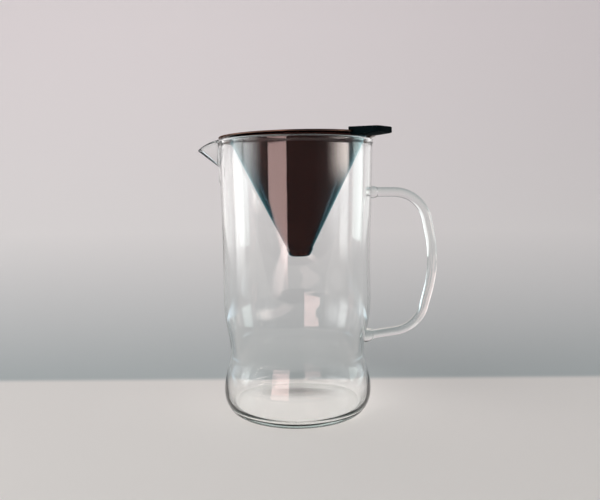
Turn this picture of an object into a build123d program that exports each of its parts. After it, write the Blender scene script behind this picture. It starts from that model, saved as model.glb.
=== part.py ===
from build123d import *
import os
from math import asin, atan, atan2, cos, radians, sin, tan

# A glass coffee maker: a blown jug with a pulled spout and a glass rod handle,
# and a metal cone filter that hangs in its mouth and lifts out by a rubber grip.
# Millimetres, +Z up. The jug stands on z = 0 with its axis on Z, the spout on -X
# and the handle on +X.

os.makedirs("parts", exist_ok=True)

# Jug wall: its outside radius under the lip, and how far in it lies at each height below
glass = 2.2
rim_height = 208.0
rim_wall_radius = 58.0
body_inset = 1.2
body_height = 100.0
shoulder_inset = 2.1
shoulder_height = 71.0
waist_inset = 5.8
waist_height = 45.0
bulge_inset = 0.65
bulge_height = 18.0
lip_bead = 3.0
lip_swell = 0.8
lip_flare = 5.0

# Jug foot: the ring that it stands on lies in from the bulge, and its corners out from that ring
foot_inset = 8.85
foot_land = 2.4
foot_rise = 4.5
foot_corner = 6.4
punt = 1.4
floor_thickness = 2.6
floor_corner = 1.9
floor_corner_rise = 1.1

# Pulled spout, measured out from the jug's wall and down from its rim
spout_length = 17.0
spout_tip_drop = 7.7
spout_root_drop = 20.8
spout_angle = 20.0
spout_root_angle = 7.0
spout_nose = 5.0
spout_flow = 11.0
spout_edge_inset = 5.0

# Glass rod handle: how far its middle line stands out from the jug's wall, and its outline in shares
# of its height, so that it keeps its shape
rod = 7.35
handle_top = 168.1
handle_bottom = 56.0
handle_reach = 49.7
widest_share = 0.512
top_step_share = 0.101
bottom_step_share = 0.118
bottom_rise_share = 0.053
top_corner_share = 0.236
bow_share = 0.856
bottom_corner_share = 0.235
upper_boss = 10.6
lower_boss = 13.5
boss_length = 7.5
boss_flare = 70.0
weld_gap = 0.05

# Cone filter, measured from the underside of its rim
mouth_clearance = 3.5
cone_tip_radius = 8.4
cone_depth = 87.2
cone_sheet = 0.5
mesh_sheet = 0.3
layer_gap = 0.1
filter_shift = 1.1
seat_gap = 0.3

# Rim of the filter: a flat web, hemmed under at its edge, with a skirt inside the cone
rim_overhang = 0.8
rim_sheet = 0.4
hem_height = 1.15
hem_width = 3.5
skirt_length = 7.0
mouth_bend = 1.2

# Tip of the filter
tip_drop = 2.9
tip_cap_overlap = 3.0
tip_cap_corner = 2.8
tip_cap_sheet = 0.6
tip_disc_height = 3.0
tip_disc_corner = 1.2

# Grip: a steel tongue on the rim's web, in a rubber sleeve that also clips over the rim,
# both measured in and out from the rim's edge
tab_azimuth = -40.0
tongue_width = 14.0
tongue_sheet = 0.8
tongue_hold = 5.6
tongue_reach = 16.0
tongue_corner = 3.0
sleeve_hold = 5.1
sleeve_length = 25.0
sleeve_width = 19.5
sleeve_under = 2.2
sleeve_flat = 13.0
sleeve_lead = 2.4
sleeve_lead_height = 1.2
sleeve_top = 3.75
sleeve_end_top = 2.6
sleeve_taper = 0.8
sleeve_corner = 3.8
sleeve_edge = 0.6
sleeve_fit = 0.15

# Values that follow from the sizes above
lip_radius = lip_bead / 2
lip_centre = rim_wall_radius + lip_swell - lip_radius
bulge_radius = rim_wall_radius - bulge_inset
foot_radius = bulge_radius - foot_inset
spout_reach = rim_wall_radius + spout_length
spout_tip_height = rim_height - spout_tip_drop
spout_root_height = rim_height - spout_root_drop
ridge_rise = spout_tip_height - spout_root_height
ridge_angle = atan2(ridge_rise, spout_length)
ridge_wall = glass / sin(ridge_angle)
cone_mouth_radius = lip_centre - lip_radius - mouth_clearance
rim_outer_radius = lip_centre + lip_radius + rim_overhang
cone_slope = (cone_mouth_radius - cone_tip_radius) / cone_depth
cone_wall = 1 / cos(atan(cone_slope))


# Radius of the cone at a height from the rim's underside, drawn in by an inset square to its wall
def cone_radius(height, inset=0.0):
    return cone_mouth_radius + height * cone_slope - inset * cone_wall


# Points of the jug's wall from the lip down to the bulge, drawn in by an inset
def wall_points(inset):
    return [
        (rim_wall_radius - inset, rim_height - lip_flare),
        (rim_wall_radius - body_inset - inset, body_height),
        (rim_wall_radius - shoulder_inset - inset, shoulder_height),
        (rim_wall_radius - waist_inset - inset, waist_height),
        (bulge_radius - inset, bulge_height),
    ]


# Distance of the spout's lower ridge from the jug's axis at a height
def ridge_radius(height):
    return rim_wall_radius + (height - spout_root_height) * spout_length / ridge_rise


# Plan outline of the beak where its ridge is this far out: two mirrored curves that leave
# the jug's circle along its tangent and meet square to the ridge
def beak_outline(angle, ridge, wall=0.0):
    wall_radius = rim_wall_radius - wall
    half_width = rim_wall_radius * sin(radians(angle)) - wall
    start = asin(half_width / wall_radius)
    flow = spout_flow * angle / spout_angle
    round_off = spout_nose * angle / spout_angle
    root = (-wall_radius * cos(start), half_width)
    leave = (root[0] - flow * sin(start), half_width - flow * cos(start))
    with BuildLine() as outline:
        Bezier(root, leave, (-ridge, round_off), (-ridge, 0))
        mirror(about=Plane.XZ)
        Line(root, (root[0], -half_width))
    return outline.line


# Jug body: the outside is revolved, the beak is lofted from it, and the inside is taken out of both
beak_high = rim_height + lip_bead
channel_low = spout_root_height + (ridge_wall - glass) * ridge_rise / spout_length

with BuildPart() as jug_outside:
    with BuildSketch(Plane.XZ):
        with BuildLine():
            lip_top = (lip_centre, rim_height)
            lip_out = (lip_centre + lip_radius, rim_height - lip_radius)
            Line((0, rim_height), lip_top)
            RadiusArc(lip_top, lip_out, lip_radius)
            Spline(lip_out, wall_points(0)[0], tangents=((0, -1), (0, -1)))
            Spline(
                *wall_points(0),
                (foot_radius + foot_corner, foot_rise),
                (foot_radius + foot_land / 2, 0),
                tangents=((0, -1), (-1, 0)),
            )
            Line((foot_radius + foot_land / 2, 0), (foot_radius - foot_land / 2, 0))
            Spline((foot_radius - foot_land / 2, 0), (0, punt), tangents=((-1, 0), (-1, 0)))
            Line((0, punt), (0, rim_height))
        make_face()
    revolve(axis=Axis.Z)

with BuildPart() as jug_body:
    add(jug_outside.part)
    with BuildSketch(Plane.XY.offset(spout_root_height)):
        add(beak_outline(spout_root_angle, ridge_radius(spout_root_height)))
        make_face()
    with BuildSketch(Plane.XY.offset(beak_high)):
        add(beak_outline(spout_angle, ridge_radius(beak_high)))
        make_face()
    loft(ruled=True)
    with BuildSketch(Plane.XZ):
        with BuildLine():
            floor_height = punt + floor_thickness
            Line((0, floor_height), (0, beak_high))
            Line((0, beak_high), (lip_centre - lip_radius, beak_high))
            Line((lip_centre - lip_radius, beak_high), wall_points(glass)[0])
            Spline(
                *wall_points(glass),
                (foot_radius + floor_corner, floor_height + floor_corner_rise),
                (foot_radius - foot_land, floor_height),
                tangents=((0, -1), (-1, 0)),
            )
            Line((foot_radius - foot_land, floor_height), (0, floor_height))
        make_face()
    revolve(axis=Axis.Z, mode=Mode.SUBTRACT)
    with BuildSketch(Plane.XY.offset(channel_low)):
        add(beak_outline(spout_root_angle, ridge_radius(channel_low) - ridge_wall, glass))
        make_face()
    with BuildSketch(Plane.XY.offset(beak_high)):
        add(beak_outline(spout_angle, ridge_radius(beak_high) - ridge_wall, glass))
        make_face()
    loft(ruled=True, mode=Mode.SUBTRACT)
    with BuildSketch(Plane.XZ):
        with BuildLine():
            edge_start = spout_edge_inset - rim_wall_radius
            edge_end = -(spout_reach + spout_length)
            tip_slope = -2 * spout_tip_drop / (spout_length + spout_edge_inset)
            edge_end_height = spout_tip_height + spout_length * tip_slope
            Line((edge_start, beak_high), (edge_start, rim_height))
            Spline(
                (edge_start, rim_height),
                (-spout_reach, spout_tip_height),
                tangents=((-1, 0), (-1, tip_slope)),
            )
            Line((-spout_reach, spout_tip_height), (edge_end, edge_end_height))
            Line((edge_end, edge_end_height), (edge_end, beak_high))
            Line((edge_end, beak_high), (edge_start, beak_high))
        make_face()
    extrude(amount=rim_wall_radius, both=True, mode=Mode.SUBTRACT)
jug_body.part.label = "jug_body"
export_step(jug_body.part, "parts/jug_body.step")


# Plane square to an arm of the handle at its wall end, with its normal along the arm
def arm_plane(start, end):
    direction = (end[0] - start[0], 0, end[1] - start[1])
    return Plane(origin=(start[0], 0, start[1]), x_dir=(0, 1, 0), z_dir=direction)


# Jug handle: a bent glass rod with a flared weld at each end, cut back to the jug's wall
with BuildPart() as jug_handle:
    height = handle_top - handle_bottom
    reach = rim_wall_radius + handle_reach
    top_weld = (rim_wall_radius - glass, handle_top)
    bottom_weld = (rim_wall_radius - shoulder_inset - glass, handle_bottom)
    top_bend = (reach - top_step_share * height, handle_top)
    bottom_bend = (reach - bottom_step_share * height, handle_bottom + bottom_rise_share * height)
    with BuildLine(Plane.XZ) as rod_line:
        FilletPolyline(
            top_weld,
            top_bend,
            (reach, handle_bottom + widest_share * height),
            bottom_bend,
            bottom_weld,
            radius=[top_corner_share * height, bow_share * height, bottom_corner_share * height],
        )
    with BuildSketch(arm_plane(top_weld, top_bend)):
        Circle(rod / 2)
    sweep(path=rod_line.line)
    for weld, bend, boss in ((top_weld, top_bend, upper_boss), (bottom_weld, bottom_bend, lower_boss)):
        arm = arm_plane(weld, bend)
        with BuildSketch(Plane(origin=arm.origin, x_dir=arm.z_dir, z_dir=(0, -1, 0))):
            with BuildLine():
                boss_foot = (glass, boss / 2)
                boss_end = (glass + boss_length, rod / 2)
                boss_leave = (cos(radians(boss_flare)), -sin(radians(boss_flare)))
                Line((0, 0), (0, boss / 2))
                Line((0, boss / 2), boss_foot)
                Spline(boss_foot, boss_end, tangents=(boss_leave, (1, 0)))
                Line(boss_end, (boss_end[0], 0))
                Line((boss_end[0], 0), (0, 0))
            make_face()
        revolve(axis=Axis(arm.origin, arm.z_dir))
    add(jug_outside.part, mode=Mode.SUBTRACT)
jug_handle.part.label = "jug_handle"
export_step(jug_handle.part, "parts/jug_handle.step")


# The filter leans by the rubber that its grip has under the rim, which rests on the jug's lip
lean = atan(sleeve_under / (2 * lip_centre))
azimuth = radians(tab_azimuth)
seat = Plane(
    origin=(filter_shift, 0, rim_height + seat_gap + lip_centre * tan(lean)),
    x_dir=(cos(azimuth) * cos(lean), sin(azimuth) * cos(lean), sin(lean)),
    z_dir=(-cos(azimuth) * sin(lean), -sin(azimuth) * sin(lean), cos(lean)),
)
filter_axis = Axis(seat.origin, seat.z_dir)
side = Plane(origin=seat.origin, x_dir=seat.x_dir, z_dir=-seat.y_dir)
web_under = hem_height - rim_sheet
cone_top = web_under - mouth_bend
mesh_outer = cone_sheet + layer_gap
skirt_outer = mesh_outer + mesh_sheet + layer_gap


# Section of a cone wall between two heights, its outside drawn in by outer from the filter's cone
def wall_quad(top, bottom, outer, sheet):
    return Polyline(
        (cone_radius(top, outer), top),
        (cone_radius(bottom, outer), bottom),
        (cone_radius(bottom, outer + sheet), bottom),
        (cone_radius(top, outer + sheet), top),
        close=True,
    )


# Filter outer cone: the perforated sheet
with BuildPart() as filter_outer_cone:
    with BuildSketch(side):
        with BuildLine():
            wall_quad(cone_top, -cone_depth, 0, cone_sheet)
        make_face()
    revolve(axis=filter_axis)
filter_outer_cone.part.label = "filter_outer_cone"
export_step(filter_outer_cone.part, "parts/filter_outer_cone.step")


# Filter mesh cone: the fine liner inside it
with BuildPart() as filter_mesh_cone:
    with BuildSketch(side):
        with BuildLine():
            wall_quad(cone_top, -cone_depth, mesh_outer, mesh_sheet)
        make_face()
    revolve(axis=filter_axis)
filter_mesh_cone.part.label = "filter_mesh_cone"
export_step(filter_mesh_cone.part, "parts/filter_mesh_cone.step")


# Filter rim: one pressed sheet with a hemmed edge, a flat web and a skirt that clamps the mesh
with BuildPart() as filter_rim:
    with BuildSketch(side):
        with BuildLine():
            hem_bend = (hem_height - rim_sheet) / 2
            hem_turn = rim_outer_radius - hem_height / 2
            web_middle = hem_height - rim_sheet / 2
            skirt_path = skirt_outer + rim_sheet / 2
            Line((rim_outer_radius - hem_width, rim_sheet / 2), (hem_turn, rim_sheet / 2))
            CenterArc((hem_turn, hem_height / 2), hem_bend, -90, 180)
            FilletPolyline(
                (hem_turn, web_middle),
                (cone_radius(web_middle, skirt_path), web_middle),
                (cone_radius(-skirt_length, skirt_path), -skirt_length),
                radius=mouth_bend,
            )
        trace(line_width=rim_sheet)
    revolve(axis=filter_axis)
filter_rim.part.label = "filter_rim"
export_step(filter_rim.part, "parts/filter_rim.step")


# Filter tip cap: a drawn cup that closes the point from outside
with BuildPart() as filter_tip_cap:
    with BuildSketch(side):
        with BuildLine():
            cup_path = -layer_gap - tip_cap_sheet / 2
            cup_top = tip_cap_overlap - cone_depth
            cup_floor = tip_cap_sheet / 2 - cone_depth - tip_drop
            FilletPolyline(
                (cone_radius(cup_top, cup_path), cup_top),
                (cone_radius(cup_floor, cup_path), cup_floor),
                (0, cup_floor),
                radius=tip_cap_corner - tip_cap_sheet / 2,
            )
        trace(line_width=tip_cap_sheet)
    revolve(axis=filter_axis)
filter_tip_cap.part.label = "filter_tip_cap"
export_step(filter_tip_cap.part, "parts/filter_tip_cap.step")


# Filter tip disc: a dished plate that clamps the end of the mesh from inside
with BuildPart() as filter_tip_disc:
    with BuildSketch(side):
        with BuildLine():
            dish_path = skirt_outer + tip_cap_sheet / 2
            dish_floor = tip_cap_sheet / 2 - cone_depth
            dish_top = dish_floor + tip_disc_height
            FilletPolyline(
                (cone_radius(dish_top, dish_path), dish_top),
                (cone_radius(dish_floor, dish_path), dish_floor),
                (0, dish_floor),
                radius=tip_disc_corner,
            )
        trace(line_width=tip_cap_sheet)
    revolve(axis=filter_axis)
filter_tip_disc.part.label = "filter_tip_disc"
export_step(filter_tip_disc.part, "parts/filter_tip_disc.step")


# Grip tongue: a flat steel strip welded on the web
tongue_under = hem_height + weld_gap
tongue_start = rim_outer_radius - tongue_hold
with BuildPart() as grip_tongue:
    with BuildSketch(seat.offset(tongue_under)):
        with Locations((tongue_start, 0)):
            Rectangle(tongue_hold + tongue_reach, tongue_width, align=(Align.MIN, Align.CENTER))
    extrude(amount=tongue_sheet)
    fillet(grip_tongue.edges().filter_by(filter_axis), radius=tongue_corner)
grip_tongue.part.label = "grip_tongue"
export_step(grip_tongue.part, "parts/grip_tongue.step")


# Grip sleeve: a tapered rubber block with a pocket for the tongue and a groove for the rim
with BuildPart() as grip_sleeve:
    sleeve_start = rim_outer_radius - sleeve_hold
    sleeve_end = sleeve_start + sleeve_length
    with BuildSketch(side):
        with BuildLine():
            Polyline(
                (sleeve_start, sleeve_top),
                (sleeve_end, sleeve_end_top),
                (sleeve_end, sleeve_taper - sleeve_under),
                (sleeve_start + sleeve_flat, -sleeve_under),
                (sleeve_start + sleeve_lead, -sleeve_under),
                (sleeve_start, sleeve_lead_height),
                close=True,
            )
        make_face()
    extrude(amount=sleeve_width / 2, both=True)
    outward = Axis(seat.origin, seat.x_dir)
    fillet(grip_sleeve.edges().filter_by(filter_axis).sort_by(outward)[-2:], radius=sleeve_corner)
    fillet(grip_sleeve.faces().sort_by(filter_axis)[-1].edges(), radius=sleeve_edge)
    with BuildSketch(side):
        with Locations((rim_outer_radius + sleeve_fit, hem_height / 2)):
            groove_depth = sleeve_hold + sleeve_fit + sleeve_lead
            Rectangle(groove_depth, hem_height + 2 * sleeve_fit, align=(Align.MAX, Align.CENTER))
    revolve(axis=filter_axis, mode=Mode.SUBTRACT)
    with BuildSketch(seat.offset(tongue_under - sleeve_fit)):
        with Locations((tongue_start, 0)):
            pocket_length = tongue_hold + tongue_reach + sleeve_fit
            Rectangle(pocket_length, tongue_width + 2 * sleeve_fit, align=(Align.MIN, Align.CENTER))
    extrude(amount=tongue_sheet + 2 * sleeve_fit, mode=Mode.SUBTRACT)
grip_sleeve.part.label = "grip_sleeve"
export_step(grip_sleeve.part, "parts/grip_sleeve.step")
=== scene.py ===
import math

import bpy
import numpy as np
from mathutils import Matrix, Vector


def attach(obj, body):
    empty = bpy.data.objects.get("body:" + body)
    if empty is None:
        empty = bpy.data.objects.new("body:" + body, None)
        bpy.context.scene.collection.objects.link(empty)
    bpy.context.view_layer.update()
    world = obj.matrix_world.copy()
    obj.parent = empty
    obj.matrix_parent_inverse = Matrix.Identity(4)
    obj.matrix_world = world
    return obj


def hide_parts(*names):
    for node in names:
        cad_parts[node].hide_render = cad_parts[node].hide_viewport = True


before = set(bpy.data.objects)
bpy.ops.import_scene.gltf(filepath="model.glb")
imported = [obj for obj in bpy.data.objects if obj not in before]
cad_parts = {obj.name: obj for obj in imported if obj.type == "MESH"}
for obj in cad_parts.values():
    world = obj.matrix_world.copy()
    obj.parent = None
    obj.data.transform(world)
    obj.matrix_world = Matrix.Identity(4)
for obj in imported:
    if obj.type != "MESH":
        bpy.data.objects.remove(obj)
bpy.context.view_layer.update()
mm = 0.001


# Small helpers for working by hand on one piece at a time

def pickOnly(*pieces):
    bpy.ops.object.select_all(action="DESELECT")
    for piece in pieces:
        piece.select_set(True)
    bpy.context.view_layer.objects.active = pieces[0]


def openMesh(piece, mode="VERT"):
    pickOnly(piece)
    bpy.ops.object.mode_set(mode="EDIT")
    bpy.ops.mesh.select_mode(type=mode)
    bpy.ops.mesh.select_all(action="DESELECT")


def closeMesh():
    bpy.ops.object.mode_set(mode="OBJECT")


def tidyMesh(piece, gap=0.002 * mm):
    openMesh(piece)
    bpy.ops.mesh.select_all(action="SELECT")
    bpy.ops.mesh.remove_doubles(threshold=gap)
    bpy.ops.mesh.dissolve_degenerate(threshold=gap)
    bpy.ops.mesh.normals_make_consistent(inside=False)
    closeMesh()


def smoothFaces(piece, angle=40):
    pickOnly(piece)
    bpy.ops.object.shade_smooth_by_angle(angle=math.radians(angle))


def bakePlace(piece):
    pickOnly(piece)
    bpy.ops.object.transform_apply(location=True, rotation=True, scale=True)


def curveThrough(points, startWay, endWay, step):
    # smooth curve through the points, leaving and arriving in the two given directions
    p = np.array(points, float)
    gaps = np.linalg.norm(np.diff(p, axis=0), axis=1)
    rows = np.zeros((len(p), len(p)))
    rows[0, 0] = rows[-1, -1] = 1
    ways = np.zeros((len(p), 2))
    ways[0], ways[-1] = startWay, endWay
    for i in range(1, len(p) - 1):
        before, after = gaps[i - 1], gaps[i]
        rows[i, i - 1:i + 2] = after, 2 * (before + after), before
        ways[i] = 3 * ((p[i] - p[i - 1]) * after / before + (p[i + 1] - p[i]) * before / after)
    ways = np.linalg.solve(rows, ways)
    pieces = []
    for i, gap in enumerate(gaps):
        t = np.linspace(0, 1, max(2, int(gap / step)) + 1)[:-1, None]
        pieces.append(
            (2 * t**3 - 3 * t**2 + 1) * p[i] + (t**3 - 2 * t**2 + t) * gap * ways[i]
            + (3 * t**2 - 2 * t**3) * p[i + 1] + (t**3 - t**2) * gap * ways[i + 1]
        )
    return [tuple(q) for q in np.concatenate(pieces + [p[-1:]])]


def arcPoints(centre, radius, start, end, steps):
    angles = np.radians(np.linspace(start, end, steps + 1))
    return [(centre[0] + radius * math.cos(a), centre[1] + radius * math.sin(a)) for a in angles]


def turnPiece(name, outline, steps, closed):
    # an outline in millimetres, (distance from the axis, height), turned once round Z
    bpy.ops.mesh.primitive_circle_add(vertices=len(outline), radius=10 * mm)
    piece = bpy.context.active_object
    piece.name = name
    for vertex, (radius, height) in zip(piece.data.vertices, outline):
        vertex.co = (radius * mm, 0, height * mm)
    if not closed:
        openMesh(piece, "EDGE")
        closeMesh()
        last = {0, len(outline) - 1}
        for edge in piece.data.edges:
            edge.select = set(edge.vertices) == last
        bpy.ops.object.mode_set(mode="EDIT")
        bpy.ops.mesh.delete(type="EDGE")
        closeMesh()
    openMesh(piece)
    bpy.ops.mesh.select_all(action="SELECT")
    bpy.ops.mesh.spin(steps=steps, angle=2 * math.pi, center=(0, 0, 0), axis=(0, 0, 1))
    closeMesh()
    tidyMesh(piece)
    return piece


def sheetOutline(path, sheet):
    # both sides of a sheet whose middle line is the path; it goes down one side and back on the other
    p = np.array(path, float)
    way = np.gradient(p, axis=0)
    way /= np.linalg.norm(way, axis=1)[:, None]
    side = np.column_stack((-way[:, 1], way[:, 0])) * sheet / 2
    return [tuple(q) for q in np.concatenate((p + side, (p - side)[::-1]))]


def roundedPath(points, radius, steps):
    # straight runs with their inner corners rounded
    p = [np.array(q, float) for q in points]
    path = [p[0]]
    for before, corner, after in zip(p, p[1:], p[2:]):
        a = (before - corner) / np.linalg.norm(before - corner)
        b = (after - corner) / np.linalg.norm(after - corner)
        half = math.acos(np.clip(a @ b, -1, 1)) / 2
        reach = radius / math.tan(half)
        centre = corner + (a + b) / np.linalg.norm(a + b) * radius / math.sin(half)
        start, end = corner + a * reach - centre, corner + b * reach - centre
        turn = math.atan2(start[0] * end[1] - start[1] * end[0], start @ end)
        for k in range(steps + 1):
            angle = turn * k / steps
            c, s = math.cos(angle), math.sin(angle)
            path.append(centre + np.array((start[0] * c - start[1] * s, start[0] * s + start[1] * c)))
    path.append(p[-1])
    return [tuple(q) for q in path]


# Camera: where the photographer stood, a hand below the level of the rim

cameraPlace = {
    "x": 2.56,
    "y": -487.0,
    "z": 175.3,
    "lookDown": 6.05,
    "roll": -0.45,
    "focalPixels": 631.3,
    "imageWidth": 600,
    "sensor": 36.0,
    "clip": (0.02, 50),
}
bpy.ops.object.camera_add(
    location=(cameraPlace["x"] * mm, cameraPlace["y"] * mm, cameraPlace["z"] * mm)
)
camera = bpy.context.active_object
camera.name = "camera"
aim = Matrix.Rotation(math.radians(90 - cameraPlace["lookDown"]), 3, "X")
roll = Matrix.Rotation(math.radians(cameraPlace["roll"]), 3, "Z")
camera.rotation_euler = (aim @ roll).to_euler()
camera.data.sensor_width = cameraPlace["sensor"]
camera.data.lens = cameraPlace["focalPixels"] * cameraPlace["sensor"] / cameraPlace["imageWidth"]
camera.data.clip_start, camera.data.clip_end = cameraPlace["clip"]
bpy.context.scene.camera = camera
print("camera placed")


# Materials

cloudSpan = (0.3, 0.7)  # the noise seldom goes past these, so the two colours of a cloud lie there
grainDepth = 0.05 * mm
marginBlur = 0.1


def newMaterial(name):
    material = bpy.data.materials.new(name)
    material.use_nodes = True
    nodes, links = material.node_tree.nodes, material.node_tree.links
    return material, nodes, links, nodes["Principled BSDF"]


def addNode(nodes, kind, **values):
    node = nodes.new(kind)
    for key, value in values.items():
        if hasattr(node, key):
            setattr(node, key, value)
        else:
            node.inputs[key.replace("_", " ")].default_value = value
    return node


def rangeStep(nodes, links, source, start, end, **values):
    # 0 at the start value and before it, 1 at the end value and past it
    step = addNode(nodes, "ShaderNodeMapRange", From_Min=start, From_Max=end, **values)
    links.new(source, step.inputs["Value"])
    return step.outputs["Result"]


def mathStep(nodes, links, operation, first, second, **values):
    step = addNode(nodes, "ShaderNodeMath", operation=operation, **values)
    links.new(first, step.inputs[0])
    links.new(second, step.inputs[1])
    return step.outputs["Value"]


def colourStep(nodes, links, share, first, second):
    # goes from the first colour, a value or a socket, to the second as the share goes from 0 to 1
    step = addNode(nodes, "ShaderNodeMix", data_type="RGBA", B=second)
    links.new(share, step.inputs["Factor"])
    if isinstance(first, tuple):
        step.inputs["A"].default_value = first
    else:
        links.new(first, step.inputs["A"])
    return step.outputs["Result"]


def splitAxes(nodes, links, source):
    axes = nodes.new("ShaderNodeSeparateXYZ")
    links.new(source, axes.inputs["Vector"])
    return axes.outputs


def glassMaterial(name, look):
    # clear blown glass: faint waves in its surface, green only where light goes a long way through it
    material, nodes, links, shader = newMaterial(name)
    shader.inputs["Base Color"].default_value = (1, 1, 1, 1)
    shader.inputs["Roughness"].default_value = 0.0
    shader.inputs["IOR"].default_value = look["ior"]
    shader.inputs["Transmission Weight"].default_value = 1.0
    place = addNode(nodes, "ShaderNodeTexCoord")
    waves = addNode(nodes, "ShaderNodeTexNoise", Scale=look["waveScale"], Detail=1.0)
    bump = addNode(nodes, "ShaderNodeBump", Strength=look["waveStrength"], Distance=look["waveDepth"])
    links.new(place.outputs["Object"], waves.inputs["Vector"])
    links.new(waves.outputs["Fac"], bump.inputs["Height"])
    links.new(bump.outputs["Normal"], shader.inputs["Normal"])
    depth = nodes.new("ShaderNodeVolumeAbsorption")
    depth.inputs["Color"].default_value = look["tint"]
    depth.inputs["Density"].default_value = look["density"]
    links.new(depth.outputs["Volume"], nodes["Material Output"].inputs["Volume"])
    return material


def vectorStep(nodes, links, operation, value, source):
    step = nodes.new("ShaderNodeVectorMath")
    step.operation = operation
    links.new(source, step.inputs[0])
    if value is not None:
        step.inputs[1].default_value = value
    return step.outputs["Value" if operation == "LENGTH" else "Vector"]


def sheetHoles(nodes, links, holes):
    # 1 in the holes of a sheet and 0 between them, from the flat places that unrollCone writes
    flat = addNode(nodes, "ShaderNodeAttribute", attribute_name="flatPlace").outputs["Vector"]
    tall = 1.0 if holes["woven"] else math.sqrt(3)
    cells = vectorStep(nodes, links, "MULTIPLY", (1 / holes["pitch"], 1 / (holes["pitch"] * tall), 0), flat)
    fromMiddle = []
    for shift in [(0, 0, 0)] if holes["woven"] else [(0, 0, 0), (0.5, 0.5, 0)]:
        place = vectorStep(nodes, links, "ADD", shift, cells)
        place = vectorStep(nodes, links, "FRACTION", None, place)
        fromMiddle.append(vectorStep(nodes, links, "SUBTRACT", (0.5, 0.5, 0), place))
    if holes["woven"]:
        place = vectorStep(nodes, links, "ABSOLUTE", None, fromMiddle[0])
        axes = splitAxes(nodes, links, place)
        nearest = mathStep(nodes, links, "MAXIMUM", axes["X"], axes["Y"])
    else:
        rounds = [vectorStep(nodes, links, "MULTIPLY", (1, tall, 0), place) for place in fromMiddle]
        rounds = [vectorStep(nodes, links, "LENGTH", None, place) for place in rounds]
        nearest = mathStep(nodes, links, "MINIMUM", *rounds)
    edge = holes["size"] / holes["pitch"] / 2
    blur = 0.15 * edge
    hole = rangeStep(nodes, links, nearest, edge + blur, edge - blur)
    inward = splitAxes(nodes, links, flat)["Z"]
    margin = rangeStep(nodes, links, inward, holes["margin"], holes["margin"] + marginBlur)
    return mathStep(nodes, links, "MULTIPLY", hole, margin)


def coatedMaterial(name, look):
    # dark copper-brown coating on polished steel: brown face on, blue-green towards its edges
    material, nodes, links, shader = newMaterial(name)
    shader.inputs["Metallic"].default_value = 1.0
    shader.inputs["Specular Tint"].default_value = look["edge"]
    place = addNode(nodes, "ShaderNodeTexCoord")
    cloud = addNode(nodes, "ShaderNodeTexNoise", Scale=look["cloudScale"], Detail=3.0)
    colours = nodes.new("ShaderNodeValToRGB")
    for stop, share, colour in zip(colours.color_ramp.elements, cloudSpan, (look["dark"], look["light"])):
        stop.position = share
        stop.color = colour
    rough = addNode(nodes, "ShaderNodeMapRange")
    rough.inputs["To Min"].default_value = look["roughness"][0]
    rough.inputs["To Max"].default_value = look["roughness"][1]
    grain = addNode(nodes, "ShaderNodeTexNoise", Scale=look["grainScale"], Detail=2.0)
    bump = addNode(nodes, "ShaderNodeBump", Strength=look["grainStrength"], Distance=grainDepth)
    links.new(place.outputs["Object"], cloud.inputs["Vector"])
    links.new(place.outputs["Object"], grain.inputs["Vector"])
    links.new(cloud.outputs["Fac"], colours.inputs["Fac"])
    links.new(cloud.outputs["Fac"], rough.inputs["Value"])
    links.new(rough.outputs["Result"], shader.inputs["Roughness"])
    links.new(grain.outputs["Fac"], bump.inputs["Height"])
    links.new(bump.outputs["Normal"], shader.inputs["Normal"])
    colour = colours.outputs["Color"]
    # the holes and gaps are painted near-black: painted shade for the dark inside seen through them, laid on
    # the real hole pattern
    if "holes" in look:
        inHole = sheetHoles(nodes, links, look["holes"])
        colour = colourStep(nodes, links, inHole, colour, look["holes"]["colour"])
        if look["holes"]["woven"]:
            strength, depth = look["holes"]["sink"]
            sink = addNode(nodes, "ShaderNodeBump", Strength=strength, Distance=depth, invert=True)
            links.new(inHole, sink.inputs["Height"])
            links.new(bump.outputs["Normal"], sink.inputs["Normal"])
            links.new(sink.outputs["Normal"], shader.inputs["Normal"])
    links.new(colour, shader.inputs["Base Color"])
    return material


def rubberMaterial(name, look):
    # matt black moulded rubber with a fine eroded skin
    material, nodes, links, shader = newMaterial(name)
    shader.inputs["Specular IOR Level"].default_value = look["gloss"]
    place = addNode(nodes, "ShaderNodeTexCoord")
    skin = addNode(nodes, "ShaderNodeTexNoise", Scale=look["skinScale"], Detail=4.0)
    cloud = addNode(nodes, "ShaderNodeTexNoise", Scale=look["cloudScale"], Detail=2.0)
    colours = nodes.new("ShaderNodeValToRGB")
    colours.color_ramp.elements[0].color = look["dark"]
    colours.color_ramp.elements[1].color = look["light"]
    rough = addNode(nodes, "ShaderNodeMapRange")
    rough.inputs["To Min"].default_value = look["roughness"][0]
    rough.inputs["To Max"].default_value = look["roughness"][1]
    bump = addNode(nodes, "ShaderNodeBump", Strength=look["skinStrength"], Distance=grainDepth)
    links.new(place.outputs["Object"], skin.inputs["Vector"])
    links.new(place.outputs["Object"], cloud.inputs["Vector"])
    links.new(cloud.outputs["Fac"], colours.inputs["Fac"])
    links.new(colours.outputs["Color"], shader.inputs["Base Color"])
    links.new(cloud.outputs["Fac"], rough.inputs["Value"])
    links.new(rough.outputs["Result"], shader.inputs["Roughness"])
    links.new(skin.outputs["Fac"], bump.inputs["Height"])
    links.new(bump.outputs["Normal"], shader.inputs["Normal"])
    return material


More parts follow.
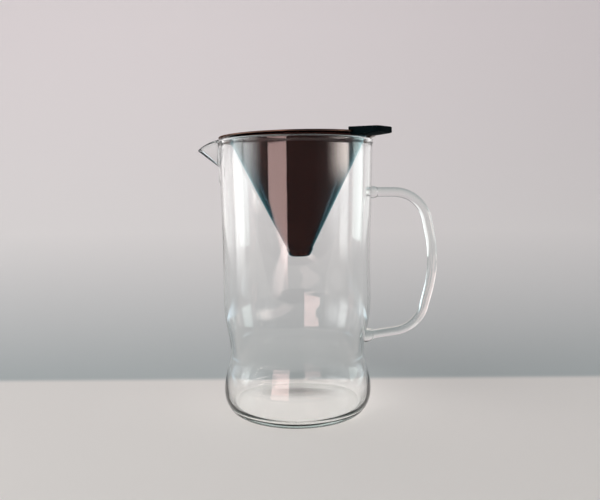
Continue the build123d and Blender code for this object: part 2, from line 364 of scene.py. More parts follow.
jugGlass = glassMaterial("jug_glass", {
    "ior": 1.474,
    "tint": (0.55, 0.85, 0.76, 1),
    "density": 8.0,
    "waveScale": 22.0,
    "waveStrength": 0.5,
    "waveDepth": 0.25 * mm,
})
handleGlass = glassMaterial("handle_glass", {
    "ior": 1.474,
    "tint": (0.6, 0.85, 0.75, 1),
    "density": 14.0,
    "waveScale": 60.0,
    "waveStrength": 0.4,
    "waveDepth": 0.15 * mm,
})
coatedSteel = coatedMaterial("coated_steel", {
    "dark": (0.030, 0.011, 0.009, 1),
    "light": (0.042, 0.016, 0.013, 1),
    "edge": (0.50, 0.90, 1.0, 1),
    "roughness": (0.07, 0.12),
    "cloudScale": 18.0,
    "grainScale": 2200.0,
    "grainStrength": 0.05,
})
holedSteel = coatedMaterial("holed_steel", {
    "dark": (0.033, 0.012, 0.010, 1),
    "light": (0.046, 0.0175, 0.0145, 1),
    "edge": (0.50, 0.90, 1.0, 1),
    "roughness": (0.07, 0.12),
    "cloudScale": 18.0,
    "grainScale": 2200.0,
    "grainStrength": 0.05,
    "holes": {
        "pitch": 0.8,
        "size": 0.36,
        "margin": 2.4,
        "woven": False,
        # the holes' colour is painted shade: the dark inside of the filter seen through them
        "colour": (0.008, 0.004, 0.0035, 1),
    },
})
rimSteel = coatedMaterial("rim_steel", {
    "dark": (0.10, 0.059, 0.046, 1),
    "light": (0.18, 0.110, 0.087, 1),
    "edge": (0.38, 0.32, 0.29, 1),
    "roughness": (0.14, 0.24),
    "cloudScale": 25.0,
    "grainScale": 1200.0,
    "grainStrength": 0.2,
})
fineMesh = coatedMaterial("fine_mesh", {
    "dark": (0.10, 0.06, 0.05, 1),
    "light": (0.16, 0.10, 0.08, 1),
    "edge": (0.2, 0.3, 0.35, 1),
    "roughness": (0.35, 0.5),
    "cloudScale": 25.0,
    "grainScale": 2500.0,
    "grainStrength": 0.8,
    "holes": {
        "pitch": 0.42,
        "size": 0.24,
        "margin": 0.0,
        "woven": True,
        # the gaps' colour is painted shade: the dark inside seen through the weave
        "colour": (0.012, 0.008, 0.007, 1),
        "sink": (0.6, 0.15 * mm),
    },
})
blackRubber = rubberMaterial("black_rubber", {
    "dark": (0.0006, 0.0036, 0.0045, 1),
    "light": (0.0015, 0.0065, 0.0080, 1),
    "gloss": 0.03,
    "roughness": (0.7, 0.85),
    "skinScale": 1800.0,
    "skinStrength": 0.35,
    "cloudScale": 60.0,
})
print("materials made")


def dress(piece, material, body):
    piece.data.materials.clear()
    piece.data.materials.append(material)
    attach(piece, body)


# Jug: one outline turned round the axis, then the spout is pulled out of its wall

jug = {
    "glass": 2.2,
    "rim": 208.0,
    "wall": [(58.0, 203.0), (56.8, 100.0), (55.9, 71.0), (52.2, 45.0), (57.35, 18.0)],
    "footCorner": (54.9, 4.5),
    "foot": (49.7, 47.3),
    "punt": 1.4,
    "floor": 4.0,
    "floorCorner": (50.4, 5.1),
    "floorEdge": 46.1,
    "lipCentre": (57.3, 206.5),
    "lipRadius": 1.5,
    "lipSteps": 14,
    "wallDense": 0.25,  # each line is drawn with dense points, which are then thinned out to its steps
    "flareDense": 0.2,
    "puntDense": 0.5,
    "shortLast": 0.4,
    "flareStep": 0.7,
    "puntStep": 3.5,
    "floorRings": 14,
    "footStep": 0.7,  # the rows lie close at the foot and the spout, and wide on the plain wall
    "footHigh": 14.0,
    "waistStep": 1.4,
    "waistHigh": 60.0,
    "wallStep": 3.0,
    "spoutStep": 1.1,
    "around": 368,
}
spout = {
    "root": 187.2,
    "top": 211.0,
    "rootAngle": 7.0,
    "topAngle": 20.0,
    "flow": 11.0,
    "nose": 5.0,
    "length": 17.0,
    "rise": 13.1,
    "edgeStart": 53.0,
    "edgeSpare": 5.0,
    "lowestLip": 195.0,
    "tipDrop": 7.7,
    "channelRoot": 188.28,
    "wallAcross": 3.604,
    "blend": 1.2,
    "from": 176.0,
    "halfSpan": 36.0,
    "fallAway": 30.0,
    "fullBulge": 5.0,
    "bulgeBelow": 1.5,
    "crowding": 0.62,
    "sideSpare": 0.2,
    "outlineSteps": 90,
    "halvings": 26,
}


def thinOut(points, spacing):
    kept = [points[0]]
    for point in points[1:-1]:
        if math.dist(point, kept[-1]) >= spacing(point[1]):
            kept.append(point)
    shortest = jug["shortLast"] * spacing(points[-1][1])
    if math.dist(kept[-1], points[-1]) < shortest and len(kept) > 1:
        kept.pop()
    return kept + [points[-1]]


def wallSpacing(height):
    if height > spout["from"]:
        return jug["spoutStep"]
    if height < jug["footHigh"]:
        return jug["footStep"]
    return jug["waistStep"] if height < jug["waistHigh"] else jug["wallStep"]


def wallCurve(inset, corner, end):
    wall = [(radius - inset, height) for radius, height in jug["wall"]]
    line = curveThrough(wall + [corner, end], (0, -1), (-1, 0), jug["wallDense"])
    return thinOut(line, wallSpacing)


footOut, footIn = jug["foot"]
lipOut = (jug["lipCentre"][0] + jug["lipRadius"], jug["lipCentre"][1])
outside = wallCurve(0, jug["footCorner"], (footOut, 0))[::-1]
inside = wallCurve(jug["glass"], jug["floorCorner"], (jug["floorEdge"], jug["floor"]))
flareLine = curveThrough([lipOut, jug["wall"][0]], (0, -1), (0, -1), jug["flareDense"])
flare = thinOut(flareLine, lambda height: jug["flareStep"])[::-1]
lip = arcPoints(jug["lipCentre"], jug["lipRadius"], 0, 180, jug["lipSteps"])
puntLine = curveThrough([(footIn, 0), (0, jug["punt"])], (-1, 0), (-1, 0), jug["puntDense"])
punt = thinOut(puntLine, lambda height: jug["puntStep"])
floor = [(r, jug["floor"]) for r in np.linspace(jug["floorEdge"], 0, jug["floorRings"])[1:]]
jugOutline = punt[::-1] + outside + flare[1:-1] + lip + inside + floor
jugPiece = turnPiece("jug", jugOutline, jug["around"], closed=False)
print("jug turned")


def beakPoint(t, height, inner):
    # a point of the beak's plan outline at a height, by three controls that move out as it rises
    inset = jug["glass"] if inner else 0.0
    wallRadius = jug["wall"][0][0] - inset
    low = spout["channelRoot"] if inner else spout["root"]
    share = (height - low) / (spout["top"] - low)
    controls = []
    for angle, level in ((spout["rootAngle"], low), (spout["topAngle"], spout["top"])):
        ridge = jug["wall"][0][0] + (level - spout["root"]) * spout["length"] / spout["rise"]
        ridge -= spout["wallAcross"] if inner else 0.0
        half = jug["wall"][0][0] * math.sin(math.radians(angle)) - inset
        start = math.asin(half / wallRadius)
        flow = spout["flow"] * angle / spout["topAngle"]
        nose = spout["nose"] * angle / spout["topAngle"]
        controls.append(np.array((
            (wallRadius * math.cos(start), half),
            (wallRadius * math.cos(start) + flow * math.sin(start), half - flow * math.cos(start)),
            (ridge, nose),
            (ridge, 0.0),
        )))
    a, b, c, d = controls[0] * (1 - share) + controls[1] * share
    t = np.asarray(t)[:, None]
    return (1 - t)**3 * a + 3 * (1 - t)**2 * t * b + 3 * (1 - t) * t**2 * c + t**3 * d


beakSteps = np.linspace(0, 1, spout["outlineSteps"])


def spoutRadius(angle, height, inner):
    # distance of the wall from the axis at an angle from the spout's middle, blended into the round wall
    base = np.interp(height, [h for r, h in jug["wall"]][::-1], [r for r, h in jug["wall"]][::-1])
    base = min(base, jug["wall"][0][0]) - (jug["glass"] if inner else 0.0)
    points = beakPoint(beakSteps, height, inner)
    angles = np.arctan2(points[:, 1], points[:, 0])
    reach = np.hypot(points[:, 0], points[:, 1])
    size = abs(angle)
    if size > angles[0]:
        beak = reach[0] - (size - angles[0]) * spout["fallAway"]
    else:
        beak = np.interp(size, angles[::-1], reach[::-1])
    near = max(spout["blend"] - abs(base - beak), 0) / spout["blend"]
    return max(base, beak) + near * near * spout["blend"] / 4


def lipHeight(reach):
    share = max(0.0, (reach - spout["edgeStart"]) / (spout["length"] + spout["edgeSpare"]))
    return jug["rim"] - spout["tipDrop"] * share**2


def columnTop(angle):
    # height of the lip over one column of the wall, where the wall meets the falling edge
    low, high = spout["lowestLip"], jug["rim"]
    for halving in range(spout["halvings"]):
        middle = (low + high) / 2
        reach = (spoutRadius(angle, middle, False) + spoutRadius(angle, middle, True)) / 2
        if middle > lipHeight(reach * math.cos(angle)):
            high = middle
        else:
            low = middle
    return (low + high) / 2


def pullSpout(piece):
    # the columns crowd towards the spout, and the ones at it are drawn out along the beak
    lipHigh = jug["lipCentre"][1]
    swell = jug["lipCentre"][0] + jug["lipRadius"] - jug["wall"][0][0]
    columns = {}
    for vertex in piece.data.vertices:
        x, y, z = (c / mm for c in vertex.co)
        radius = math.hypot(x, y)
        if radius < 1e-4:
            continue
        angle = math.atan2(y, -x)
        angle -= spout["crowding"] * math.sin(angle)
        if z > spout["from"] and abs(angle) < math.radians(spout["halfSpan"]):
            key = round(angle, 5)
            if key not in columns:
                top = columnTop(angle)
                bulge = spoutRadius(angle, top - spout["bulgeBelow"], False) - jug["wall"][0][0]
                keep = 1 - min(max(bulge / spout["fullBulge"], 0), 1)
                columns[key] = (top, keep * keep * (3 - 2 * keep))
            top, plain = columns[key]
            bead = (jug["glass"] + swell * plain) / 2
            centre = top - bead
            risen = (min(z, lipHigh) - spout["from"]) / (lipHigh - spout["from"])
            height = spout["from"] + risen * (centre - spout["from"])
            out = spoutRadius(angle, height, False)
            into = spoutRadius(angle, height, True)
            slant = out - spoutRadius(angle, height - 1, False)
            outer = radius - jug["wall"][0][0]
            if z > lipHigh + 1e-4:
                phi = math.atan2(z - lipHigh, radius - jug["lipCentre"][0])
                outEdge = out + swell * plain
                middle, half = (outEdge + into) / 2, (outEdge - into) / 2
                rise = bead * math.sin(phi) / math.hypot(1, slant)
                radius = middle + half * math.cos(phi) + rise * slant
                z = height + rise
            elif radius > jug["lipCentre"][0] - jug["lipRadius"] + spout["sideSpare"]:
                radius = out + (max(outer, 0) * plain if z > jug["wall"][0][1] else 0)
                z = height
            else:
                radius = into
                z = height
        vertex.co = (-radius * math.cos(angle) * mm, radius * math.sin(angle) * mm, z * mm)


pullSpout(jugPiece)
tidyMesh(jugPiece)
smoothFaces(jugPiece, 60)
dress(jugPiece, jugGlass, "jug")
jugPiece.visible_shadow = False  # clear glass: it shades the floor only by what it bends
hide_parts("jug_body")
print("spout pulled")


# Handle: a ring is drawn along the rod's line and flared onto the wall at both ends

handle = {
    "rod": 7.35,
    "top": 168.1,
    "bottom": 56.0,
    "reach": 107.7,
    "widest": 0.512,
    "topStep": 0.101,
    "bottomStep": 0.118,
    "bottomRise": 0.053,
    "corners": (0.236, 0.856, 0.235),
    "bosses": (9.2, 10.5),
    "bossLengths": (4.6, 6.2),
    "neck": 0.035,
    "neckWidth": 0.9,
    "wobble": 0.03,
    "step": 1.6,
    "fineStep": 0.45,
    "fineLength": 11.0,
    "gap": 0.03,
    "knobSlope": 0.15,
    "bendSteps": 22,
    "around": 48,
}
wallHeights, wallRadii = (np.array(column) for column in zip(*sorted((h, r) for r, h in outside)))


def wallRadiusAt(height):
    return float(np.interp(height, wallHeights, wallRadii))


def handlePath():
    height = handle["top"] - handle["bottom"]
    reach = handle["reach"]
    corners = [
        (wallRadiusAt(handle["top"]), handle["top"]),
        (reach - handle["topStep"] * height, handle["top"]),
        (reach, handle["bottom"] + handle["widest"] * height),
        (reach - handle["bottomStep"] * height, handle["bottom"] + handle["bottomRise"] * height),
        (wallRadiusAt(handle["bottom"]), handle["bottom"]),
    ]
    path = [np.array(corners[0], float)]
    for before, corner, after, share in zip(corners, corners[1:], corners[2:], handle["corners"]):
        part = roundedPath([before, corner, after], share * height, handle["bendSteps"])
        path += [np.array(q) for q in part[1:-1]]
    path.append(np.array(corners[-1], float))
    path = np.array(path)
    along = np.concatenate(([0], np.cumsum(np.linalg.norm(np.diff(path, axis=0), axis=1))))
    marks = [0.0]
    while marks[-1] < along[-1]:
        fromEnd = min(marks[-1], along[-1] - marks[-1])
        marks.append(marks[-1] + (handle["fineStep"] if fromEnd < handle["fineLength"] else handle["step"]))
    marks = np.array(marks) * along[-1] / marks[-1]
    return np.column_stack((np.interp(marks, along, path[:, 0]), np.interp(marks, along, path[:, 1])))


def drawHandle():
    path = handlePath()
    along = np.concatenate(([0], np.cumsum(np.linalg.norm(np.diff(path, axis=0), axis=1))))
    way = np.gradient(path, axis=0)
    way /= np.linalg.norm(way, axis=1)[:, None]
    bpy.ops.mesh.primitive_circle_add(
        vertices=handle["around"],
        radius=handle["rod"] / 2 * mm,
        fill_type="NGON",
        location=(path[0][0] * mm, 0, path[0][1] * mm),
        rotation=(0, math.radians(90), 0),
    )
    piece = bpy.context.active_object
    piece.name = "handle"
    bakePlace(piece)
    openMesh(piece, "FACE")
    bpy.ops.mesh.select_all(action="SELECT")
    for before, after, wayBefore, wayAfter in zip(path, path[1:], way, way[1:]):
        step = after - before
        turn = math.atan2(wayAfter[1], wayAfter[0]) - math.atan2(wayBefore[1], wayBefore[0])
        turn = (turn + math.pi) % (2 * math.pi) - math.pi
        bpy.ops.mesh.extrude_region_move(TRANSFORM_OT_translate={"value": (step[0] * mm, 0, step[1] * mm)})
        if abs(turn) > 1e-6:
            bpy.ops.transform.rotate(
                value=turn,
                orient_axis="Y",
                center_override=(after[0] * mm, 0, after[1] * mm),
            )
    closeMesh()
    return piece, path, along


handlePiece, rodPath, rodAlong = drawHandle()


def flareEnds(piece):
    # at each wall the rod ends in a round knob of melted glass, with a slight neck behind it
    total = rodAlong[-1]
    for index, vertex in enumerate(piece.data.vertices):
        ring = index // handle["around"]
        x, y, z = (c / mm for c in vertex.co)
        centre = rodPath[ring]
        ends = zip((rodAlong[ring], total - rodAlong[ring]), handle["bosses"], handle["bossLengths"])
        for distance, boss, length in ends:
            if distance > 2 * handle["fineLength"]:
                continue
            share = min(distance / length, 1)
            around = math.atan2(z - centre[1], y)
            swell = (boss / handle["rod"] - 1) * math.sqrt(1 - share * share)
            uneven = math.sin(3 * around + 0.7) + math.sin(5 * around + boss)
            swell += handle["wobble"] * (1 - share) * uneven
            neck = handle["neck"] * math.exp(-((distance - length) / handle["neckWidth"])**2)
            grow = 1 + swell - neck
            y *= grow
            x = centre[0] + (x - centre[0]) * grow
            z = centre[1] + (z - centre[1]) * grow
            stop = math.sqrt(max(wallRadiusAt(z)**2 - y * y, 0)) + handle["gap"]
            if distance < 1e-6:
                x = stop
            x = max(x, stop + handle["knobSlope"] * distance)
        vertex.co = (x * mm, y * mm, z * mm)


flareEnds(handlePiece)
tidyMesh(handlePiece)
smoothFaces(handlePiece, 50)
dress(handlePiece, handleGlass, "jug")
handlePiece.visible_shadow = False
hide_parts("jug_handle")
print("handle drawn")


# Filter: every round piece is turned upright and then set down leaning, as it hangs in the mouth

cone = {
    "mouth": 52.3,
    "tip": 8.4,
    "depth": 87.2,
    "sheet": 0.5,
    "mesh": 0.3,
    "gap": 0.1,
    "shift": 1.1,
    "seatGap": 0.3,
    "under": 2.2,
    "azimuth": -40.0,
    "rows": 40,
    "around": 256,
}
rim = {
    "outer": 59.6,
    "sheet": 0.4,
    "hemHeight": 1.15,
    "hemWidth": 3.5,
    "skirt": 7.0,
    "bend": 1.2,
    "bendSteps": 8,
    "hemSteps": 10,
    "hemEnd": 0.5,
}
slope = (cone["mouth"] - cone["tip"]) / cone["depth"]
across = 1 / math.cos(math.atan(slope))
lean = math.atan(cone["under"] / (2 * jug["lipCentre"][0]))
seatHigh = jug["rim"] + cone["seatGap"] + jug["lipCentre"][0] * math.tan(lean)
seat = (
    Matrix.Translation((cone["shift"] * mm, 0, seatHigh * mm))
    @ Matrix.Rotation(math.radians(cone["azimuth"]), 4, "Z")
    @ Matrix.Rotation(-lean, 4, "Y")
)


def coneRadius(height, inset=0.0):
    return cone["mouth"] + height * slope - inset * across


def setDown(piece):
    piece.matrix_world = seat
    bakePlace(piece)


def coneOutline(top, bottom, inset, sheet):
    outer = [(coneRadius(h, inset), h) for h in np.linspace(top, bottom, cone["rows"])]
    return outer + [(coneRadius(h, inset + sheet), h) for h in np.linspace(bottom, top, cone["rows"])]


def unrollCone(piece):
    # each corner's place on the flat sheet before it was rolled, and its distance in from the sheet's edges
    tilt = slope / math.hypot(1, slope)
    flat = piece.data.attributes.new("flatPlace", "FLOAT_VECTOR", "CORNER")
    lengths = (cone["tip"] / tilt, cone["mouth"] / tilt)
    for face in piece.data.polygons:
        places = [piece.data.vertices[i].co / mm for i in face.vertices]
        turns = [math.atan2(place.y, place.x) for place in places]
        if max(turns) - min(turns) > math.pi:
            turns = [turn if turn > 0 else turn + 2 * math.pi for turn in turns]
        for loop, place, turn in zip(face.loop_indices, places, turns):
            length = math.hypot(place.x, place.y) / tilt
            rolled = turn * tilt
            inside = min(length - lengths[0], lengths[1] - length, length * (math.pi - abs(turn)) * tilt)
            flat.data[loop].vector = (length * math.cos(rolled), length * math.sin(rolled), inside)


coneTop = rim["hemHeight"] - rim["sheet"] - rim["bend"]
coneLine = coneOutline(coneTop, -cone["depth"], 0, cone["sheet"])
conePiece = turnPiece("filter_cone", coneLine, cone["around"], closed=True)
unrollCone(conePiece)
setDown(conePiece)
smoothFaces(conePiece)
dress(conePiece, holedSteel, "filter")
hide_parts("filter_outer_cone")

meshInset = cone["sheet"] + cone["gap"]
meshLine = coneOutline(coneTop, -cone["depth"], meshInset, cone["mesh"])
meshPiece = turnPiece("filter_mesh", meshLine, cone["around"], closed=True)
unrollCone(meshPiece)
setDown(meshPiece)
smoothFaces(meshPiece)
dress(meshPiece, fineMesh, "filter")
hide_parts("filter_mesh_cone")
print("cones turned")


def rimOutline():
    turn = rim["outer"] - rim["hemHeight"] / 2
    middle = rim["hemHeight"] - rim["sheet"] / 2
    inset = meshInset + cone["mesh"] + cone["gap"] + rim["sheet"] / 2
    path = [(rim["outer"] - width, rim["sheet"] / 2) for width in (rim["hemWidth"], rim["hemWidth"] / 2)]
    hemRadius = (rim["hemHeight"] - rim["sheet"]) / 2
    path += arcPoints((turn, rim["hemHeight"] / 2), hemRadius, -90, 90, rim["hemSteps"])
    web = [
        (turn - rim["hemEnd"], middle),
        (coneRadius(middle, inset), middle),
        (coneRadius(-rim["skirt"], inset), -rim["skirt"]),
    ]
    path += roundedPath(web, rim["bend"], rim["bendSteps"])
    return sheetOutline(path, rim["sheet"])


rimPiece = turnPiece("filter_rim_sheet", rimOutline(), cone["around"], closed=True)
setDown(rimPiece)
smoothFaces(rimPiece)
dress(rimPiece, rimSteel, "filter")
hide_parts("filter_rim")

tip = {
    "drop": 2.9,
    "overlap": 3.0,
    "corner": 2.8,
    "cornerSteps": 10,
    "floorRings": 6,
    "sheet": 0.6,
    "around": 128,
}


def capOutline():
    inset = -cone["gap"] - tip["sheet"] / 2
    top = tip["overlap"] - cone["depth"]
    floorHigh = tip["sheet"] / 2 - cone["depth"] - tip["drop"]
    path = roundedPath(
        [(coneRadius(top, inset), top), (coneRadius(floorHigh, inset), floorHigh), (0, floorHigh)],
        tip["corner"] - tip["sheet"] / 2,
        tip["cornerSteps"],
    )
    dense = path[:-1] + [(r, floorHigh) for r in np.linspace(path[-2][0], 0, tip["floorRings"])[1:]]
    return [(max(r, 0.0), h) for r, h in sheetOutline(dense, tip["sheet"])]


capPiece = turnPiece("filter_tip", capOutline(), tip["around"], closed=True)
setDown(capPiece)
smoothFaces(capPiece)
dress(capPiece, coatedSteel, "filter")
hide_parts("filter_tip_cap")
print("rim and tip turned")

for nodeName in ("filter_tip_disc", "grip_tongue"):
    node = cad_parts[nodeName]
    node.data.materials.clear()
    node.data.materials.append(rimSteel)


# Grip: a rubber block, cut and bent to its wedge shape, with a slot for the rim and one for the tongue

grip = {
    "start": 54.5,
    "length": 25.0,
    "width": 19.5,
    "top": 3.75,
    "endTop": 2.6,
    "under": -2.2,
    "taper": 0.8,
    "flat": 13.0,
    "lead": 2.4,
    "leadHeight": 1.2,
    "corner": 3.8,
    "cornerSteps": 8,
    "edge": 0.6,
    "edgeSteps": 4,
    "edgeAngle": 25,
    "fit": 0.15,
    "tongueFrom": 54.0,
    "tongueTo": 75.6,
    "tongueWidth": 14.0,
    "tongueUnder": 1.2,
    "tongueTop": 2.0,
}


def makeGrip():
    bpy.ops.mesh.primitive_cube_add(size=1, location=(0, 0, 0))
    piece = bpy.context.active_object
    piece.name = "grip"
    high = grip["top"] - grip["under"]
    piece.scale = (grip["length"] * mm, grip["width"] * mm, high * mm)
    piece.location = (
        (grip["start"] + grip["length"] / 2) * mm,
        0,
        (grip["top"] + grip["under"]) / 2 * mm,
    )
    bakePlace(piece)
    openMesh(piece)
    for cut in (grip["lead"], grip["flat"]):
        bpy.ops.mesh.select_all(action="SELECT")
        bpy.ops.mesh.bisect(plane_co=((grip["start"] + cut) * mm, 0, 0), plane_no=(1, 0, 0))
    closeMesh()
    end = (grip["start"] + grip["length"]) * mm
    near = 0.01 * mm
    for vertex in piece.data.vertices:
        x, top = vertex.co.x, vertex.co.z > 0
        if x > end - near:
            vertex.co.z = (grip["endTop"] if top else grip["under"] + grip["taper"]) * mm
        elif top:
            share = (x / mm - grip["start"]) / grip["length"]
            vertex.co.z = (grip["top"] + (grip["endTop"] - grip["top"]) * share) * mm
        elif x < grip["start"] * mm + near:
            vertex.co.z = grip["leadHeight"] * mm
    openMesh(piece, "EDGE")
    closeMesh()
    for edge in piece.data.edges:
        a, b = (piece.data.vertices[i].co for i in edge.vertices)
        edge.select = min(a.x, b.x) > end - near and abs(a.y - b.y) < near
    bpy.ops.object.mode_set(mode="EDIT")
    bpy.ops.mesh.bevel(offset=grip["corner"] * mm, segments=grip["cornerSteps"], profile=0.5)
    closeMesh()
    soften = piece.modifiers.new("soften", "BEVEL")
    soften.width = grip["edge"] * mm
    soften.segments = grip["edgeSteps"]
    soften.limit_method = "ANGLE"
    soften.angle_limit = math.radians(grip["edgeAngle"])
    pickOnly(piece)
    bpy.ops.object.modifier_apply(modifier="soften")
    return piece


def cutAway(piece, tool):
    cut = piece.modifiers.new("cut", "BOOLEAN")
    cut.operation = "DIFFERENCE"
    cut.solver = "EXACT"
    cut.object = tool
    pickOnly(piece)
    bpy.ops.object.modifier_apply(modifier="cut")
    bpy.data.objects.remove(tool)


def rimGroove():
    inner, outer = grip["start"] - grip["lead"], rim["outer"] + grip["fit"]
    low, high = -grip["fit"], rim["hemHeight"] + grip["fit"]
    line = [(inner, low), (outer, low), (outer, high), (inner, high)]
    return turnPiece("groove", line, cone["around"], closed=True)


def tonguePocket():
    bpy.ops.mesh.primitive_cube_add(size=1)
    pocket = bpy.context.active_object
    inner, outer = grip["tongueFrom"], grip["tongueTo"] + grip["fit"]
    low, high = grip["tongueUnder"] - grip["fit"], grip["tongueTop"] + grip["fit"]
    width = grip["tongueWidth"] + 2 * grip["fit"]
    pocket.scale = ((outer - inner) * mm, width * mm, (high - low) * mm)
    pocket.location = ((outer + inner) / 2 * mm, 0, (high + low) / 2 * mm)
    bakePlace(pocket)
    return pocket


gripPiece = makeGrip()
cutAway(gripPiece, rimGroove())
cutAway(gripPiece, tonguePocket())
setDown(gripPiece)
smoothFaces(gripPiece, 30)
dress(gripPiece, blackRubber, "filter")
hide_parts("grip_sleeve")
print("grip made")


# Studio: a pale floor that sweeps up into a grey wall, with painted shade darkest low on the wall behind the
# jug and painted light growing towards its top, soft panels round it, dim air in front.
# Sizes are in metres here

studio = {
    "halfWidth": 2.4,
    "front": -0.62,
    "under": -0.0001,
    "bend": 0.12,
    "bendRadius": 1.3,
    "bendSteps": 40,
    "wallTop": 2.6,
    "cardHigh": 0.003,
    "roughness": 0.9,
    "gloss": 0.1,
    # pale floor, then a step to grey; the grey is painted shade darkest low behind the jug and lightens
    # upwards as painted light
    "toneAndShade": [  # colour by the distance behind the jug's axis
        (0.062, (0.80, 0.78, 0.76, 1)),
        (0.072, (0.455, 0.50, 0.51, 1)),
        (0.60, (0.91, 0.885, 0.885, 1)),
        (1.20, (1.0, 0.93, 0.95, 1)),
    ],
}


def makeSweep():
    bpy.ops.mesh.primitive_plane_add(size=1)
    piece = bpy.context.active_object
    piece.name = "studio_sweep"
    corners = [
        (-studio["halfWidth"], studio["front"]),
        (studio["halfWidth"], studio["front"]),
        (-studio["halfWidth"], studio["bend"]),
        (studio["halfWidth"], studio["bend"]),
    ]
    for vertex, (x, y) in zip(piece.data.vertices, corners):
        vertex.co = (x, y, studio["under"])
    openMesh(piece, "EDGE")
    closeMesh()
    for edge in piece.data.edges:
        edge.select = all(piece.data.vertices[i].co.y > studio["bend"] - 0.01 for i in edge.vertices)
    bpy.ops.object.mode_set(mode="EDIT")
    bpy.ops.mesh.spin(
        steps=studio["bendSteps"],
        angle=math.radians(-90),
        center=(0, studio["bend"], studio["bendRadius"]),
        axis=(1, 0, 0),
    )
    bpy.ops.mesh.extrude_region_move(
        TRANSFORM_OT_translate={"value": (0, 0, studio["wallTop"] - studio["bendRadius"])}
    )
    closeMesh()
    tidyMesh(piece)
    smoothFaces(piece, 60)
    material, nodes, links, shader = newMaterial("studio_paper")
    place = addNode(nodes, "ShaderNodeTexCoord")
    deepest = studio["toneAndShade"][-1][0]
    depth = splitAxes(nodes, links, place.outputs["Object"])["Y"]
    # the paper's colour carries painted shade low behind the jug and painted light higher up the wall
    toneAndShade = nodes.new("ShaderNodeValToRGB")
    stops = toneAndShade.color_ramp.elements
    while len(stops) < len(studio["toneAndShade"]):
        stops.new(0.5)
    for stop, (distance, colour) in zip(stops, studio["toneAndShade"]):
        stop.position = distance / deepest
        stop.color = colour
    links.new(rangeStep(nodes, links, depth, 0, deepest), toneAndShade.inputs["Fac"])
    links.new(toneAndShade.outputs["Color"], shader.inputs["Base Color"])
    shader.inputs["Roughness"].default_value = studio["roughness"]
    shader.inputs["Specular IOR Level"].default_value = studio["gloss"]
    piece.data.materials.append(material)


makeSweep()
print("floor and wall made")


def softPanel(name, spot, aim, size, radiance, colour, fades=(0, 0, 0, 0), lightsPaper=False, spin=0):
    # the fades soften its left, right, lower and upper edge, each over a share of the panel
    width, height = size
    bpy.ops.object.light_add(type="AREA", location=spot)
    lamp = bpy.context.active_object
    lamp.name = name
    lamp.data.shape = "RECTANGLE"
    lamp.data.size = width
    lamp.data.size_y = height
    lamp.data.energy = 4 * radiance * width * height  # a lamp's power is divided by four times its area
    lamp.data.color = colour
    faced = aim.to_track_quat("-Z", "Y").to_matrix()
    lamp.rotation_euler = (faced @ Matrix.Rotation(math.radians(spin), 3, "Z")).to_euler()
    lamp.visible_diffuse = lightsPaper
    lamp.visible_camera = False
    lamp.data.use_nodes = True
    nodes, links = lamp.data.node_tree.nodes, lamp.data.node_tree.links
    place = nodes.new("ShaderNodeNewGeometry")
    axes = splitAxes(nodes, links, place.outputs["Parametric"])
    strength = None
    for axis, end, fade in zip("XXYY", (0, 1, 0, 1), fades):
        if fade == 0:
            continue
        soft = rangeStep(nodes, links, axes[axis], end, abs(end - fade), interpolation_type="SMOOTHSTEP")
        strength = soft if strength is None else mathStep(nodes, links, "MULTIPLY", strength, soft)
    if strength is not None:
        links.new(strength, nodes["Emission"].inputs["Strength"])


def floorPlace(turn, distance, height=0.0):
    return Vector((distance * math.cos(math.radians(turn)), distance * math.sin(math.radians(turn)), height))


def standingPanel(name, first, last, edges, radiance, colour, fades):
    # upright, between two places that are each given as (degrees from the handle's side, distance)
    low, high = edges
    first, last = floorPlace(*first), floorPlace(*last)
    along = last - first
    spot = (first + last) / 2
    spot.z = (low + high) / 2
    aim = Vector((-along.y, along.x, 0))
    softPanel(name, spot, aim, (along.length, high - low), radiance, colour, fades)


def lyingCard(name, turn, ends, width, radiance, colour, fades):
    # lies on the floor and points away from the jug; it is seen only in the glass
    near, far = ends
    spot = floorPlace(turn, (near + far) / 2, studio["cardHigh"])
    softPanel(name, spot, Vector((0, 0, 1)), (width, far - near), radiance, colour, fades, spin=turn - 90)


overhead = {
    "spot": (-0.9, -0.9, 1.4),
    "aim": Vector((0.9, 1.2, -1.4)),
    "size": (1.4, 1.4),
    "radiance": 1.95,
    "colour": (1.0, 0.98, 0.96),
    "lightsPaper": True,
}
# each panel's first and last place, low and high edge, radiance, colour and fades
panels = {
    "panel_left":
        ((167, 0.6), (191, 0.66), (0.0, 0.45), 3.0, (1.0, 1.0, 0.99), (0.12, 0.25, 0.22, 0.3)),
    "panel_left_soft":
        ((188, 0.66), (222, 0.9), (0.0, 0.45), 3.6, (1.0, 1.0, 1.0), (0.1, 0.9, 0.62, 0.3)),
    "panel_left_back":
        ((122, 0.8), (166, 0.8), (0.0, 0.6), 0.5, (1.0, 0.98, 0.97), (0.3, 0.1, 0.1, 0.3)),
    "panel_right":
        ((1, 0.87), (26, 0.87), (0.04, 0.5), 1.75, (0.86, 1.0, 0.96), (0.05, 0.05, 0.02, 0.3)),
    "panel_right_back":
        ((30, 0.8), (58, 0.8), (0.0, 0.6), 0.4, (0.97, 1.0, 0.98), (0.1, 0.3, 0.1, 0.3)),
    "panel_right_front":
        ((-48, 0.8), (-6, 0.8), (0.13, 0.36), 6.0, (1.0, 0.88, 0.82), (0.8, 0.15, 0.35, 0.3)),
    "panel_front_left":
        ((-130.5, 2.0), (-102, 0.6), (0.02, 0.32), 3.4, (1.0, 0.685, 0.645), (0.02, 0.02, 0.1, 0.1)),
}
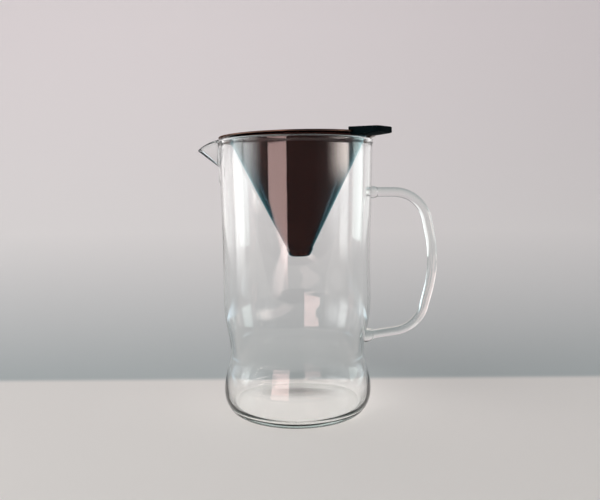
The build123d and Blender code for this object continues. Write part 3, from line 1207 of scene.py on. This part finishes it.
# each card's direction, near and far end, width, radiance, colour and fades
cards = {
    "card_front_left": (-116, (0.20, 0.66), 0.17, 0.8, (1.0, 0.80, 0.77), (0.1, 0.1, 0.3, 0.2)),
    "card_front_left_far": (-115, (0.58, 1.14), 0.19, 2.2, (1.0, 0.80, 0.77), (0.15, 0.15, 0.6, 0.05)),
    "card_left": (196, (0.22, 0.62), 0.26, 0.4, (1.0, 0.95, 0.94), (0.3, 0.3, 0.3, 0.2)),
    "card_right": (14, (0.22, 0.86), 0.22, 0.4, (0.95, 1.0, 0.98), (0.3, 0.3, 0.3, 0.2)),
    "card_right_back": (50, (0.16, 0.86), 0.50, 0.8, (0.72, 0.92, 1.0), (0.1, 0.1, 0.3, 0.2)),
    "card_left_back": (130, (0.16, 0.86), 0.50, 0.8, (0.66, 0.86, 1.0), (0.1, 0.1, 0.3, 0.2)),
}
softPanel("panel_over", **overhead)
for name, settings in panels.items():
    standingPanel(name, *settings)
for name, settings in cards.items():
    lyingCard(name, *settings)

air = {  # the pairs are where a change starts and ends, as a part of the direction that is looked in
    "seen": (0.60, 0.57, 0.57, 1),
    "front": (0.06, 0.06, 0.065, 1),
    "back": (0.62, 0.64, 0.66, 1),
    "frontToBack": (-0.9, 0.3),
    "over": (0.10, 0.10, 0.11, 1),
    "sideToOver": (0.26, 0.52),
    "onPaper": (0.42, 0.42, 0.42, 1),
    "ahead": (-0.15, -0.35),
}


def fillAir():
    world = bpy.data.worlds.new("studio_air")
    bpy.context.scene.world = world
    world.use_nodes = True
    nodes, links = world.node_tree.nodes, world.node_tree.links
    path = nodes.new("ShaderNodeLightPath").outputs
    way = splitAxes(nodes, links, nodes.new("ShaderNodeTexCoord").outputs["Generated"])
    turned = rangeStep(nodes, links, way["Y"], *air["frontToBack"])
    colour = colourStep(nodes, links, turned, air["front"], air["back"])
    raised = rangeStep(nodes, links, way["Z"], *air["sideToOver"])
    colour = colourStep(nodes, links, raised, colour, air["over"])
    colour = colourStep(nodes, links, path["Diffuse Depth"], colour, air["onPaper"])
    # straight through the glass from behind, the room in front is as pale as it is beside the glass
    ahead = rangeStep(nodes, links, way["Y"], *air["ahead"])
    bounced = mathStep(nodes, links, "ADD", path["Glossy Depth"], path["Diffuse Depth"])
    straight = mathStep(nodes, links, "SUBTRACT", ahead, bounced, use_clamp=True)
    direct = mathStep(nodes, links, "MAXIMUM", straight, path["Is Camera Ray"])
    colour = colourStep(nodes, links, direct, colour, air["seen"])
    links.new(colour, nodes["Background"].inputs["Color"])


fillAir()
bpy.context.scene.view_settings.view_transform = "Standard"
bpy.context.scene.cycles.max_bounces = 32
bpy.context.scene.cycles.transmission_bounces = 32
print("studio lit")
